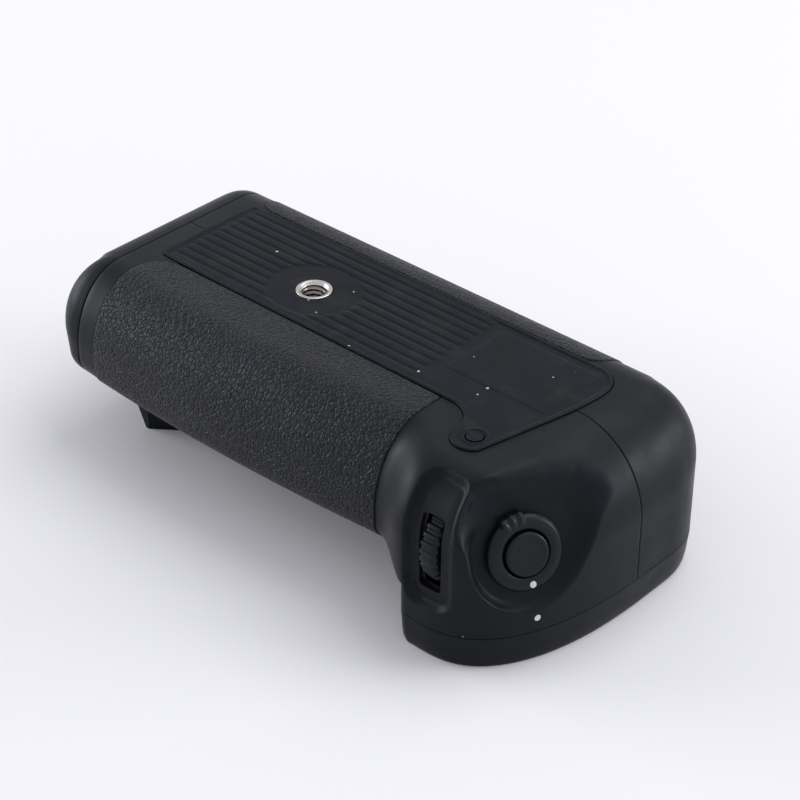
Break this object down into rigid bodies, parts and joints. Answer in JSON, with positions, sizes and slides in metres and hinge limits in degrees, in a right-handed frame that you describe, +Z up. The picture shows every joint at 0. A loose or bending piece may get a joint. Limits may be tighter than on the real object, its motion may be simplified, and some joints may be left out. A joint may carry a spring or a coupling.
{
  "type": "camera battery grip",
  "caption": "Camera battery grip with a rubber hand grip, tripod socket, angled shutter button with lock collar, command dials and a pull-out battery holder.",
  "frame": {"origin": "centre of the overall box on the plane of the camera rim, which is the floor it stands on in the picture", "axes": "+X along the grip towards the shutter end, -Y the front that the fingers hold, +Z up out of the tripod socket"},
  "size_m": [0.15, 0.0742, 0.045],
  "materials": {
    "casing_plastic": "fine satin moulded texture",
    "pad_rubber": "smooth dull rubber",
    "grip_rubber": "pebbled leather grain",
    "control_plastic": "satin",
    "inner_plastic": "plain moulded",
    "bush_nickel": "satin nickel plate",
    "plate_aluminium": "rolled sheet",
    "steel": "zinc plated",
    "brass": "machined",
    "contact_gold": "gold plated",
    "board_green": "solder mask",
    "mark_white": "paint"
  },
  "bodies": {
    "grip": {"front_casing": "casing_plastic", "rear_casing": "casing_plastic", "deck_cover": "casing_plastic", "base_pad": "pad_rubber", "pad_plug": "pad_rubber", "front_grip_rubber": "grip_rubber", "rear_grip_rubber": "grip_rubber", "chamber_frame": "inner_plastic", "shutter_bridge": "inner_plastic", "shutter_switch": "inner_plastic", "sub_dial_bracket": "inner_plastic", "main_dial_bracket": "inner_plastic", "rear_switch": "inner_plastic", "selector_base": "inner_plastic", "connector_block": "inner_plastic", "tripod_bush": "bush_nickel", "chassis_plate": "plate_aluminium", "chassis_screws": "steel", "sub_dial_axle": "steel", "main_dial_axle": "steel", "wheel_axle": "steel", "board_screws": "steel", "locating_pins": "steel", "deck_screws": "steel", "screw_bush": "brass", "chamber_contacts": "contact_gold", "connector_pins": "contact_gold", "control_board": "board_green", "main_board": "board_green", "index_dot": "mark_white"},
    "holder": {"holder_tray": "inner_plastic", "holder_contacts": "contact_gold", "end_cap": "casing_plastic", "cap_gasket": "pad_rubber"},
    "latch": {"latch_knob": "control_plastic", "latch_tongue": "steel"},
    "shutter": {"shutter_button": "control_plastic"},
    "collar": {"lock_collar": "control_plastic", "collar_clip": "steel", "collar_dot": "mark_white"},
    "front_wheel": {"sub_dial": "control_plastic"},
    "rear_wheel": {"main_dial": "control_plastic"},
    "af_button": {"rear_button": "control_plastic"},
    "gimbal": {"selector_gimbal": "steel"},
    "selector": {"selector_pad": "control_plastic"},
    "wheel": {"attachment_wheel": "control_plastic"},
    "screw": {"camera_screw": "steel", "screw_gear": "brass"}
  },
  "joints": [
    {"name": "holder_slide", "type": "slide", "parent": "grip", "child": "holder", "axis": [-1, 0, 0], "range_m": [0, 0.072]},
    {"name": "latch_turn", "type": "hinge", "parent": "holder", "child": "latch", "pos_m": [-0.0655, -0.0005, 0.02885], "axis": [1, 0, 0], "range_deg": [0, 90]},
    {"name": "shutter_press", "type": "slide", "parent": "grip", "child": "shutter", "axis": [-0.8548, 0.4169, -0.309], "range_m": [0, 0.0014], "stiffness_N_per_m": 800},
    {"name": "collar_turn", "type": "hinge", "parent": "grip", "child": "collar", "pos_m": [0.06667, -0.022, 0.0272], "axis": [0.8548, -0.4169, 0.309], "range_deg": [0, 35]},
    {"name": "sub_dial_turn", "type": "hinge", "parent": "grip", "child": "front_wheel", "pos_m": [0.05085, -0.0268, 0.0265], "axis": [1, 0, 0], "continuous": true},
    {"name": "main_dial_turn", "type": "hinge", "parent": "grip", "child": "rear_wheel", "pos_m": [0.055, 0.02685, 0.0198], "axis": [1, 0, 0], "continuous": true},
    {"name": "rear_button_press", "type": "slide", "parent": "grip", "child": "af_button", "axis": [0, -1, 0], "range_m": [0, 0.0009], "stiffness_N_per_m": 700},
    {"name": "selector_tilt_x", "type": "hinge", "parent": "grip", "child": "gimbal", "pos_m": [0.029, 0.02885, 0.019], "axis": [1, 0, 0], "range_deg": [-6, 6], "stiffness_Nm_per_rad": 0.03},
    {"name": "selector_tilt_z", "type": "hinge", "parent": "gimbal", "child": "selector", "pos_m": [0.029, 0.02885, 0.019], "axis": [0, 0, 1], "range_deg": [-6, 6], "stiffness_Nm_per_rad": 0.03},
    {"name": "wheel_turn", "type": "hinge", "parent": "grip", "child": "wheel", "pos_m": [-0.0205, 0.02555, 0.012], "axis": [0, 0, 1], "continuous": true},
    {"name": "screw_turn", "type": "hinge", "parent": "grip", "child": "screw", "pos_m": [-0.0205, 0.0083, 0.005], "axis": [0, 0, 1], "continuous": true}
  ],
  "couplings": [
    {"joint": "screw_turn", "follows": "wheel_turn", "ratio": -0.53333}
  ]
}
